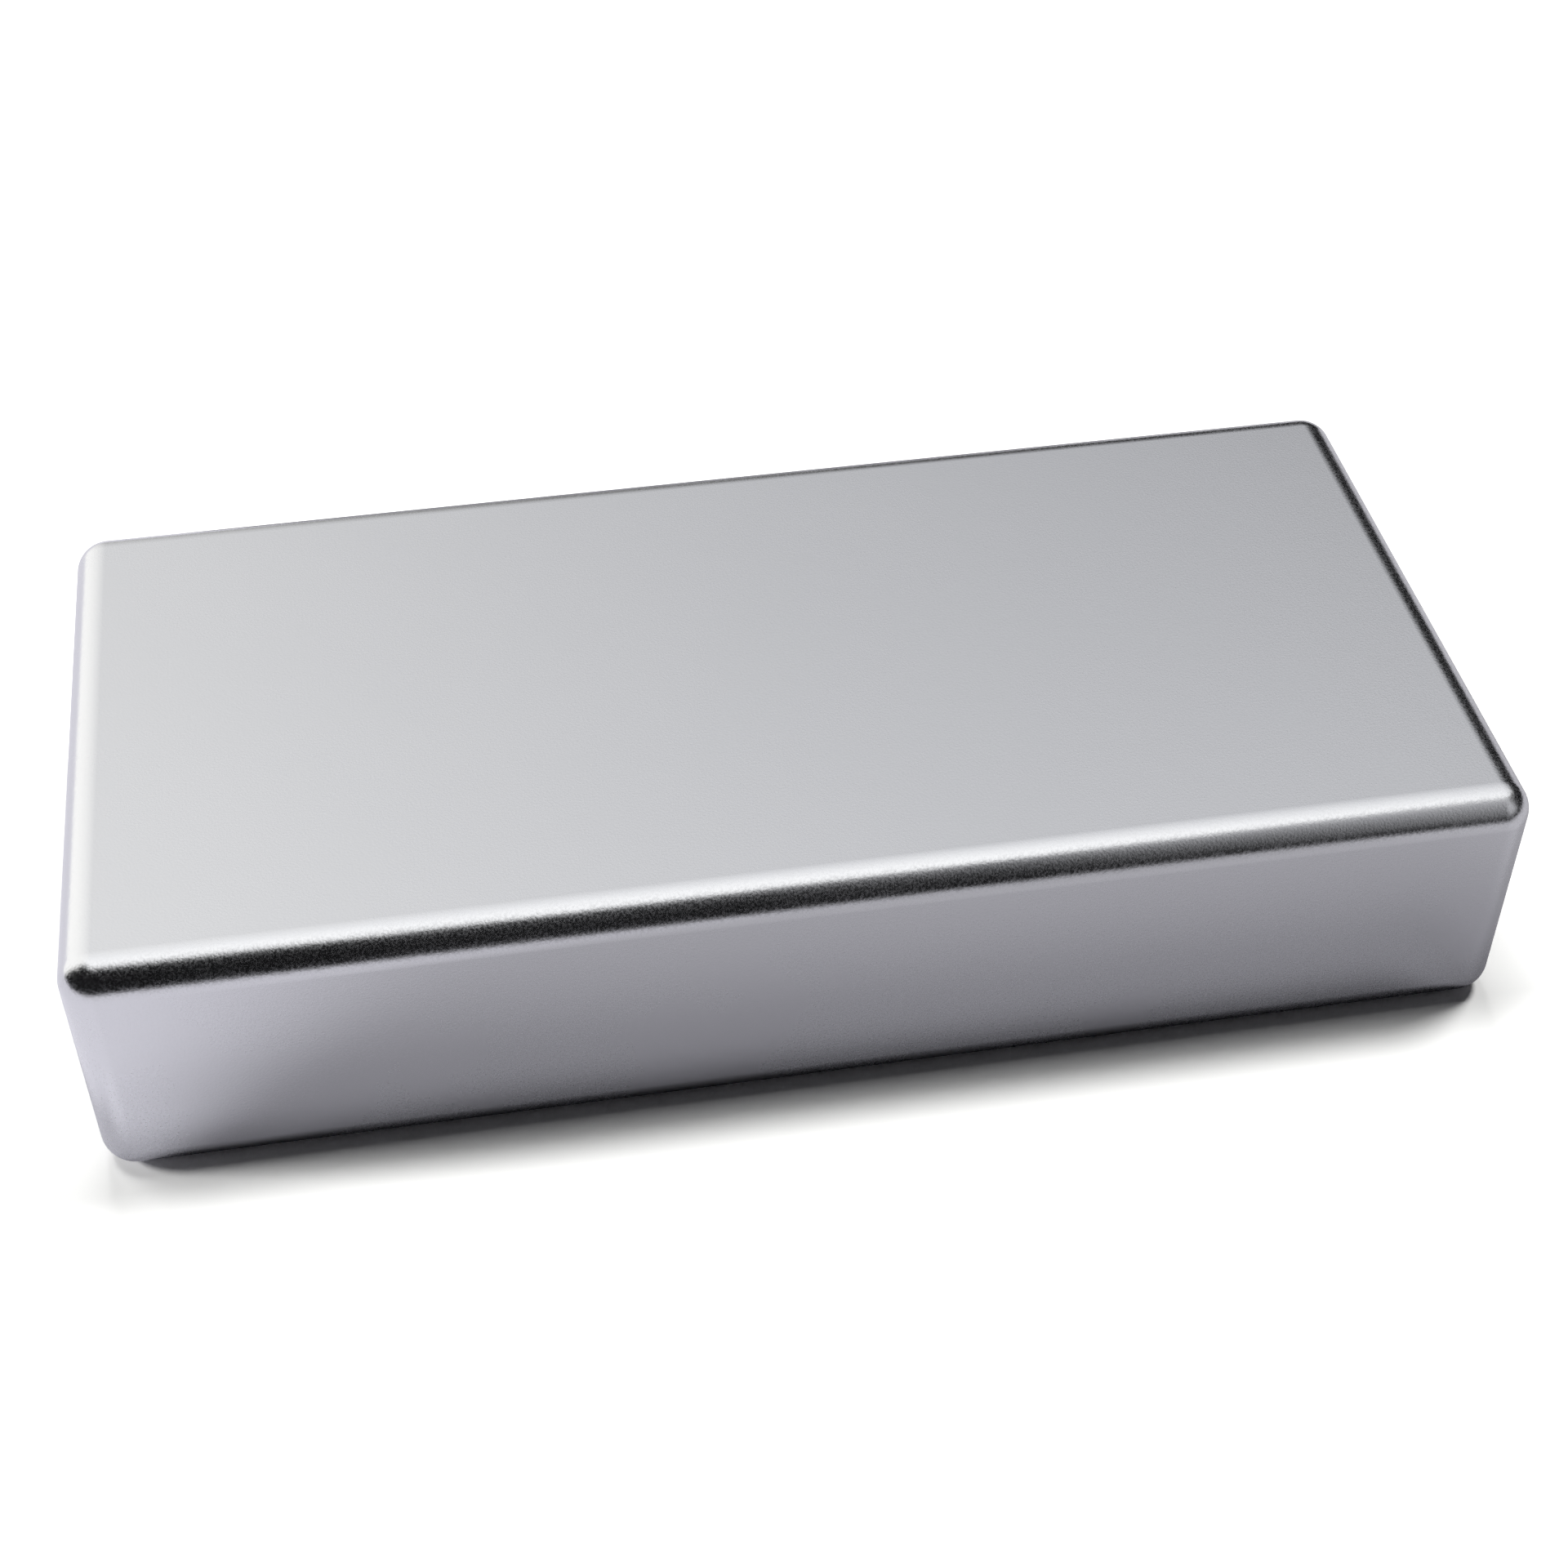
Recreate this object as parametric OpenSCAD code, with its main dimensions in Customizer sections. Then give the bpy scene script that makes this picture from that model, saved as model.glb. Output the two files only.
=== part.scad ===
// Block magnet: one sintered block, ground square, tumbled so that every edge and corner is round, and nickel plated.
// The lower pole face lies on z = 0 and the block is centred on the Z axis, which is its direction of magnetisation.

/* [Block] */
// Length, along X
length = 40; // [24:0.5:100]
// Width, along Y
width = 19; // [8:0.5:60]
// Thickness between the two pole faces, along Z
thickness = 8; // [3:0.5:30]

/* [Edges] */
// Radius left by tumbling on all twelve edges and eight corners
edge_radius = 1; // [0.2:0.1:1.4]

/* [Hidden] */
// Facets of a full circle in the preview
$fn = 96;
// Box that joins the centres of the eight corner rounds
core = [length, width, thickness] - 2 * edge_radius * [1, 1, 1];
// Turns a cylinder from Z to X, to Y, or leaves it along Z
axis_turns = [[0, 90, 0], [90, 0, 0], [0, 0, 0]];
// The two sides of a centred box
sides = [-1, 1];

// One slab for each pair of opposite flat faces
module face_slabs() {
    for (axis = [0:2])
        cube([for (i = [0:2]) core[i] + (i == axis ? 2 * edge_radius : 0)], center = true);
}

// Four rods along each axis make the rounded edges
module edge_rods() {
    for (axis = [0:2], a = sides, b = sides) {
        corner = [for (i = [0:2]) i == axis ? 0 : (i == (axis + 1) % 3 ? a : b) * core[i] / 2];
        translate(corner)
            rotate(axis_turns[axis])
                cylinder(r = edge_radius, h = core[axis], center = true);
    }
}

// A ball at each corner, where three rounded edges meet
module corner_balls() {
    for (x = sides, y = sides, z = sides)
        translate([x * core.x, y * core.y, z * core.z] / 2)
            sphere(r = edge_radius);
}

module block_magnet() {
    color([0.78, 0.78, 0.8])
        translate([0, 0, thickness / 2]) {
            face_slabs();
            edge_rods();
            corner_balls();
        }
}

block_magnet();
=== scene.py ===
"""The looks of the block magnet: a satin nickel-plated block on a pale floor under soft studio light."""

import math

import bmesh
import bpy
from mathutils import Matrix, Vector


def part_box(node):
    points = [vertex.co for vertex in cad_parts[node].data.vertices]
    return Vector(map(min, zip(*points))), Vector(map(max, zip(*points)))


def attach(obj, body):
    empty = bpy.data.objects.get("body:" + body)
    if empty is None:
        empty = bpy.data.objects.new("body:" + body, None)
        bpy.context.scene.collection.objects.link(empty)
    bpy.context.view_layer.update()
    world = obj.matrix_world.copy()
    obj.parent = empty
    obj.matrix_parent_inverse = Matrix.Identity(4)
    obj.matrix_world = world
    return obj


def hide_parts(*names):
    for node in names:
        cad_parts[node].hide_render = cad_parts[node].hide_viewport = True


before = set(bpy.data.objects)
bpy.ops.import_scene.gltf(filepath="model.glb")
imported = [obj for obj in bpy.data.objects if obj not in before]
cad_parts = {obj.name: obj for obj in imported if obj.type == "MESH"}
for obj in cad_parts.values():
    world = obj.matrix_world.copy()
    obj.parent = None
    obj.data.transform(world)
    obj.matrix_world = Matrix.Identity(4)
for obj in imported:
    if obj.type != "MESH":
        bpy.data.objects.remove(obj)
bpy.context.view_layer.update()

# Lengths are in metres, angles in degrees, and colours are linear, where 1 is white
MM = 0.001
WHITE = (1, 1, 1, 1)

# The block, as the frame gives it
NODE = "block_magnet"
LOW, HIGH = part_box(NODE)

# Camera, fitted to the block's outline in the photograph. Azimuth 0 looks along +Y and 90 along -X
CAMERA_AZIMUTH, CAMERA_ELEVATION, CAMERA_ROLL = -9.77, 43.36, 0.09
CAMERA_DISTANCE = 75.31 * MM
CAMERA_AIM = Vector((0.33, -1.13, 4.0)) * MM
CLIP_START, CLIP_END = 1 * MM, 10.0
# Lens and sensor in millimetres
CAMERA_LENS, SENSOR_WIDTH = 58.09, 36.0

# Mesh of the block: steps from a flat to the middle of its round, and squares with a narrow rim on the flats
HALF_ROUND_STEPS = 24
FLAT_STEP = 1.0 * MM
FLAT_RIM = 0.04 * MM
# Points closer than this are one
SAME_PLACE = 1e-3 * MM
# Texture map of this name, with a gap between the faces' patches
TEXTURE_MAP = "OFBake"
PATCH_GAP = 0.5 * MM

# Nickel plating. Its grain of fine pits is smooth where the noise is low and rough where it is high
GRAIN_SIZE, GRAIN_DETAIL, GRAIN_DEPTH = 0.065 * MM, 2, 0.0030 * MM
GRAIN_RANGE = (0.35, 0.65)
GRAIN_SMOOTH, GRAIN_ROUGH = 0.165, 0.28
# Tumbling leaves a shallow ripple
RIPPLE_SIZE, RIPPLE_DETAIL, RIPPLE_DEPTH = 0.8 * MM, 1, 0.0012 * MM
# Wide clouds shift the roughness and the tint a little
CLOUD_SIZE, CLOUD_DETAIL, CLOUD_ROUGHNESS = 5 * MM, 3, 0.015
CLOUD_RANGE = (0.3, 0.7)
NICKEL_DULL, NICKEL_CLEAR = (0.762, 0.769, 0.783, 1), (0.775, 0.781, 0.797, 1)

# Studio. The sheet overhead fades to OVERHEAD_BACK towards OVERHEAD_FADE, an azimuth and an elevation
OVERHEAD, OVERHEAD_BACK = (1.25, 1.25, 1.25, 1), (0.67, 0.675, 0.71, 1)
OVERHEAD_FADE = (25, 0)
WHITE_CARD, GREY_CARD = (1.23, 1.22, 1.19, 1), (0.56, 0.56, 0.58, 1)
ROOM = (0.008, 0.008, 0.0085, 1)
# Each edge of a part is (azimuth, elevation, softness), and the part is in the half of the sky around them
OVERHEAD_EDGES = ((47, 16, 0.125), (-13, 23, 0.125), (-45, 39, 0.125), (-109, 53, 0.125), (190, 72, 1.0))
WHITE_CARD_EDGES = ((14, 10, 0.15), (-100, -12, 0.55), (-41, -24, 0.14))
GREY_CARD_EDGES = ((205, 0, 0.25), (62, 0, 0.25), (-50, 79, 0.2))

# Floor. FLOOR_WHITE is what the camera sees, and the metal shows the greys, which carry painted light and
# shade: a painted shadow in front of the block, painted light on the left and past its right end, and
# painted shade far ahead
FLOOR_SIZE = 1.2
FLOOR_WHITE = (1.5, 1.5, 1.475, 1)
# Painted shadow: the near grey is the block's shadow on the floor in front of it, and the middle grey is the
# floor beyond
FLOOR_NEAR_PAINTED_SHADOW, FLOOR_MIDDLE = (0.325, 0.319, 0.348, 1), (0.50, 0.491, 0.525, 1)
# Painted shade: the far grey darkens the floor far ahead, where the light falls off
FLOOR_FAR_PAINTED_SHADE = (0.15, 0.148, 0.155, 1)
# Painted light: the left grey is paler where light from the left falls on the floor, and the right grey is
# paler past the block's right end, out of its shadow
FLOOR_LEFT_PAINTED_LIGHT, FLOOR_RIGHT_PAINTED_LIGHT = (0.78, 0.766, 0.835, 1), (0.60, 0.59, 0.63, 1)
# Distances ahead of the block, and past its right end, over which the painted shadow turns into the middle
# grey, the middle grey into the painted far shade, and the grey into the painted light on the right
NEAR_TO_MIDDLE = (2 * MM, 10 * MM)
MIDDLE_TO_FAR = (12 * MM, 90 * MM)
MIDDLE_TO_RIGHT = 10 * MM
# The painted light of the left grey ends in a painted shadow edge that starts this far from the block's left
# end and slants to the right by this share of the distance ahead. The edge is as soft as it is far ahead,
# plus a little at its start
LEFT_START, LEFT_SLANT, LEFT_SOFTNESS = 1.6 * MM, 0.5, 0.5 * MM

# Lamps: azimuth, elevation, and share of the floor's light
LAMP_DISTANCE, LAMP_WIDTH = 2.0, 0.45
LAMPS = {
    "left_lamp": (-85, 32, 0.25),
    "top_left_lamp": (-60, 76, 0.20),
    "back_lamp": (0, 62, 0.16),
    "right_lamp": (60, 70, 0.39),
}


def direction(azimuth, elevation):
    """Unit vector from the block. Azimuth 0 is +Y, away from the camera, and 90 is +X, to its right."""
    a, e = math.radians(azimuth), math.radians(elevation)
    return Vector((math.sin(a) * math.cos(e), math.cos(a) * math.cos(e), math.sin(e)))


def add_object(name, data):
    """A new object in the scene, made of that mesh, lamp or camera."""
    made = bpy.data.objects.new(name, data)
    bpy.context.scene.collection.objects.link(made)
    return made


class Nodes:
    """Short ways to add and join the nodes of a material or a world."""

    def __init__(self, owner):
        owner.use_nodes = True
        self.tree = owner.node_tree
        self.tree.nodes.clear()

    def add(self, kind, **settings):
        node = self.tree.nodes.new(kind)
        for name, value in settings.items():
            setattr(node, name, value)
        return node

    def link(self, source, target):
        """Joins two sockets, or sets the target if the source is a plain value."""
        if isinstance(source, (int, float, tuple)):
            target.default_value = source
        else:
            self.tree.links.new(source, target)

    def show(self, shader, output="ShaderNodeOutputMaterial"):
        """Makes the shader the look of the material or world."""
        self.link(shader.outputs[0], self.add(output).inputs["Surface"])

    def maths(self, operation, *values):
        node = self.add("ShaderNodeMath", operation=operation)
        for socket, value in zip(node.inputs, values):
            self.link(value, socket)
        return node.outputs[0]

    def dot(self, vector, fixed):
        node = self.add("ShaderNodeVectorMath", operation="DOT_PRODUCT")
        self.link(vector, node.inputs[0])
        node.inputs[1].default_value = fixed
        return node.outputs["Value"]

    def smooth(self, value, low, high, to_low=0.0, to_high=1.0):
        """Turns the range low..high into to_low..to_high, with soft ends, and holds what lies outside."""
        node = self.add("ShaderNodeMapRange", interpolation_type="SMOOTHSTEP")
        sockets = ("Value", "From Min", "From Max", "To Min", "To Max")
        for name, given in zip(sockets, (value, low, high, to_low, to_high)):
            self.link(given, node.inputs[name])
        return node.outputs["Result"]

    def mix(self, share, a, b):
        """Colour a where the share is 0 and colour b where it is 1."""
        node = self.add("ShaderNodeMix", data_type="RGBA")
        for name, given in (("Factor", share), ("A", a), ("B", b)):
            self.link(given, node.inputs[name])
        return node.outputs["Result"]


def round_radius():
    """Radius of the block's edges: how far its flat top stops short of its sides."""
    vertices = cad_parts[NODE].data.vertices
    return HIGH.x - max(v.co.x for v in vertices if v.co.z > HIGH.z - SAME_PLACE)


def stations(half, radius):
    """(place on the core box, tangent of the turn) of each grid line across a face, from edge to edge."""
    steps = range(1, HALF_ROUND_STEPS + 1)
    turns = [math.tan(math.radians(45) * i / HALF_ROUND_STEPS) for i in steps]
    core = half - radius
    inner = core - FLAT_RIM
    count = max(1, round(2 * inner / FLAT_STEP))
    flats = [-core] + [-inner + 2 * inner * i / count for i in range(count + 1)] + [core]
    left = [(-core, -turn) for turn in reversed(turns)]
    right = [(core, turn) for turn in turns]
    return left + [(place, 0.0) for place in flats] + right


def patch_reach(half, radius):
    """Distance along the surface from a face's middle to the border of its patch on the texture map."""
    return half - radius + radius * math.pi / 4 + PATCH_GAP / 2


def patches(half, radius):
    """Lower left corner of the patch of each (axis, side) face, and the side of the square texture map."""
    x, y, z = (2 * patch_reach(h, radius) for h in half)
    corners = {
        (2, -1): (0, 0),
        (2, 1): (0, y),
        (1, -1): (0, 2 * y),
        (1, 1): (0, 2 * y + z),
        (0, -1): (0, 2 * y + 2 * z),
        (0, 1): (y, 2 * y + 2 * z),
    }
    return corners, max(2 * y + 3 * z, x)


def rounded_block(name, low, high, radius):
    """A block whose edges are true quarter rounds and whose corners are true eighths of a ball.

    Each of the six faces is a grid that turns halfway round its edges, where it meets the next face.
    """
    centre, half = (low + high) / 2, (high - low) / 2
    patch_corners, map_side = patches(half, radius)
    built = bmesh.new()
    texture_map = built.loops.layers.uv.new(TEXTURE_MAP)
    found, normals = {}, []

    def vertex(place, normal):
        key = tuple(round(x / SAME_PLACE) for x in place)
        if key not in found:
            found[key] = built.verts.new(place)
            normals.append(normal)
        return found[key]

    def unrolled(station, limit):
        core, turn = station
        return patch_reach(limit, radius) + core + radius * math.atan(turn)

    for (axis, side), (left, bottom) in patch_corners.items():
        along, up = [a for a in range(3) if a != axis]
        rows = []
        for up_station in stations(half[up], radius):
            row = []
            for along_station in stations(half[along], radius):
                core, turn = Vector((0, 0, 0)), Vector((0, 0, 0))
                core[axis], turn[axis] = side * (half[axis] - radius), side
                core[along], turn[along] = along_station
                core[up], turn[up] = up_station
                turn.normalize()
                spot = ((left + unrolled(along_station, half[along])) / map_side,
                        (bottom + unrolled(up_station, half[up])) / map_side)
                row.append((vertex(centre + core + radius * turn, turn), spot))
            rows.append(row)
        # The order of a square's corners turns it outward. X and Z, across a Y face, run the other way round
        order = side * (-1 if axis == 1 else 1)
        for lower, upper in zip(rows, rows[1:]):
            for i in range(len(lower) - 1):
                square = [lower[i], lower[i + 1], upper[i + 1], upper[i]][::order]
                face = built.faces.new([corner for corner, _ in square])
                for loop, (_, spot) in zip(face.loops, square):
                    loop[texture_map].uv = spot

    mesh = bpy.data.meshes.new(name)
    built.to_mesh(mesh)
    built.free()
    mesh.shade_smooth()
    mesh.normals_split_custom_set_from_vertices(normals)
    return add_object(name, mesh)


def nickel_plating():
    """Satin metal. One grain sets both its pits and its roughness, over a shallow ripple."""
    material = bpy.data.materials.new("nickel_plating")
    n = Nodes(material)
    place = n.add("ShaderNodeTexCoord").outputs["Object"]

    def noise(size, detail):
        texture = n.add("ShaderNodeTexNoise")
        n.link(place, texture.inputs["Vector"])
        n.link(1 / size, texture.inputs["Scale"])
        n.link(detail, texture.inputs["Detail"])
        return texture.outputs["Fac"]

    def bump(height, depth):
        node = n.add("ShaderNodeBump")
        n.link(height, node.inputs["Height"])
        n.link(depth, node.inputs["Distance"])
        return node

    grain = noise(GRAIN_SIZE, GRAIN_DETAIL)
    clouds = noise(CLOUD_SIZE, CLOUD_DETAIL)
    ripple = bump(noise(RIPPLE_SIZE, RIPPLE_DETAIL), RIPPLE_DEPTH)
    pits = bump(grain, GRAIN_DEPTH)
    n.link(ripple.outputs["Normal"], pits.inputs["Normal"])
    roughness = n.smooth(grain, *GRAIN_RANGE, GRAIN_SMOOTH, GRAIN_ROUGH)
    haze = n.smooth(clouds, *CLOUD_RANGE, -CLOUD_ROUGHNESS, CLOUD_ROUGHNESS)

    metal = n.add("ShaderNodeBsdfPrincipled")
    n.link(1.0, metal.inputs["Metallic"])
    n.link(n.mix(clouds, NICKEL_DULL, NICKEL_CLEAR), metal.inputs["Base Color"])
    n.link(n.maths("ADD", roughness, haze), metal.inputs["Roughness"])
    n.link(pits.outputs["Normal"], metal.inputs["Normal"])
    n.show(metal)
    return material


def studio():
    """What the metal shows: a white sheet overhead, a white card left, a grey card right and a dark room.

    The camera sees plain white in its place, and the lamps light the floor.
    """
    world = bpy.data.worlds.new("studio")
    bpy.context.scene.world = world
    n = Nodes(world)
    world.cycles.sampling_method = "NONE"
    way = n.add("ShaderNodeTexCoord").outputs["Generated"]

    def lay(colour, edges, under):
        inside = 1.0
        for azimuth, elevation, softness in edges:
            edge = n.smooth(n.dot(way, direction(azimuth, elevation)), -softness, softness)
            inside = n.maths("MULTIPLY", inside, edge)
        return n.mix(inside, under, colour)

    towards_back = n.maths("MAXIMUM", n.dot(way, direction(*OVERHEAD_FADE)), 0.0)
    overhead = n.mix(towards_back, OVERHEAD, OVERHEAD_BACK)
    light = lay(GREY_CARD, GREY_CARD_EDGES, ROOM)
    light = lay(overhead, OVERHEAD_EDGES, light)
    light = lay(WHITE_CARD, WHITE_CARD_EDGES, light)

    path = n.add("ShaderNodeLightPath")
    camera = path.outputs["Is Camera Ray"]
    mirrored = n.maths("MAXIMUM", path.outputs["Is Glossy Ray"], path.outputs["Is Transmission Ray"])
    background = n.add("ShaderNodeBackground")
    n.link(n.mix(camera, light, WHITE), background.inputs["Color"])
    n.link(n.maths("MAXIMUM", mirrored, camera), background.inputs["Strength"])
    n.show(background, "ShaderNodeOutputWorld")


def pale_floor():
    """The metal shows the floor in grey, with a painted shadow in front of the block, painted light palest
    on the left and past its right end, and painted shade far ahead. The camera sees it bleached to white.
    """
    material = bpy.data.materials.new("pale_floor")
    n = Nodes(material)
    place = n.add("ShaderNodeTexCoord").outputs["Object"]
    across = n.dot(place, (1, 0, 0))
    ahead = n.maths("MAXIMUM", n.maths("SUBTRACT", n.dot(place, (0, -1, 0)), -LOW.y), 0.0)
    # Painted shadow: darker near the block's front, fading into the middle grey
    grey = n.mix(n.smooth(ahead, *NEAR_TO_MIDDLE), FLOOR_NEAR_PAINTED_SHADOW, FLOOR_MIDDLE)
    # Painted light: paler past the block's right end
    grey = n.mix(n.smooth(across, HIGH.x, HIGH.x + MIDDLE_TO_RIGHT), grey, FLOOR_RIGHT_PAINTED_LIGHT)

    # Painted light on the left, ending in a slanted painted shadow edge that softens with the distance ahead
    from_start = n.maths("SUBTRACT", across, LOW.x + LEFT_START)
    from_line = n.maths("MULTIPLY_ADD", ahead, -LEFT_SLANT, from_start)
    softness = n.maths("ADD", ahead, LEFT_SOFTNESS)
    grey = n.mix(n.smooth(n.maths("DIVIDE", from_line, softness), -1.0, 1.0), FLOOR_LEFT_PAINTED_LIGHT, grey)
    # Painted shade: the floor darkens far ahead of the block
    grey = n.mix(n.smooth(ahead, *MIDDLE_TO_FAR), grey, FLOOR_FAR_PAINTED_SHADE)

    surface = n.add("ShaderNodeBsdfDiffuse")
    camera = n.add("ShaderNodeLightPath").outputs["Is Camera Ray"]
    n.link(n.mix(camera, grey, FLOOR_WHITE), surface.inputs["Color"])
    n.show(surface)

    mesh = bpy.data.meshes.new("floor")
    h = FLOOR_SIZE / 2
    mesh.from_pydata([(-h, -h, 0), (h, -h, 0), (h, h, 0), (-h, h, 0)], [], [(0, 1, 2, 3)])
    mesh.materials.append(material)
    floor = add_object("floor", mesh)


def soft_lamps():
    """Round lamps aimed at the block. Together they light the floor so that white looks white."""
    for name, (azimuth, elevation, share) in LAMPS.items():
        towards = direction(azimuth, elevation)
        data = bpy.data.lights.new(name, "AREA")
        data.shape = "DISK"
        data.size = LAMP_WIDTH
        data.energy = share * (math.pi * LAMP_DISTANCE) ** 2 / towards.z
        lamp = add_object(name, data)
        lamp.location = towards * LAMP_DISTANCE
        lamp.rotation_mode = "QUATERNION"
        lamp.rotation_quaternion = towards.to_track_quat("Z", "Y")
        lamp.visible_glossy = False


def photo_camera():
    """The camera of the photograph, aimed at a point near the block's middle and rolled a little."""
    back = direction(180 - CAMERA_AZIMUTH, CAMERA_ELEVATION)
    roll = Matrix.Rotation(math.radians(CAMERA_ROLL), 4, "Z").to_quaternion()
    data = bpy.data.cameras.new("camera")
    data.lens, data.sensor_width = CAMERA_LENS, SENSOR_WIDTH
    data.clip_start, data.clip_end = CLIP_START, CLIP_END
    camera = add_object("camera", data)
    camera.location = CAMERA_AIM + CAMERA_DISTANCE * back
    camera.rotation_mode = "QUATERNION"
    camera.rotation_quaternion = back.to_track_quat("Z", "Y") @ roll
    bpy.context.scene.camera = camera


bpy.context.scene.view_settings.view_transform = "Standard"
photo_camera()
studio()
pale_floor()
soft_lamps()

block = rounded_block("magnet_block", LOW, HIGH, round_radius())
block.data.materials.append(nickel_plating())
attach(block, "root")
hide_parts(NODE)
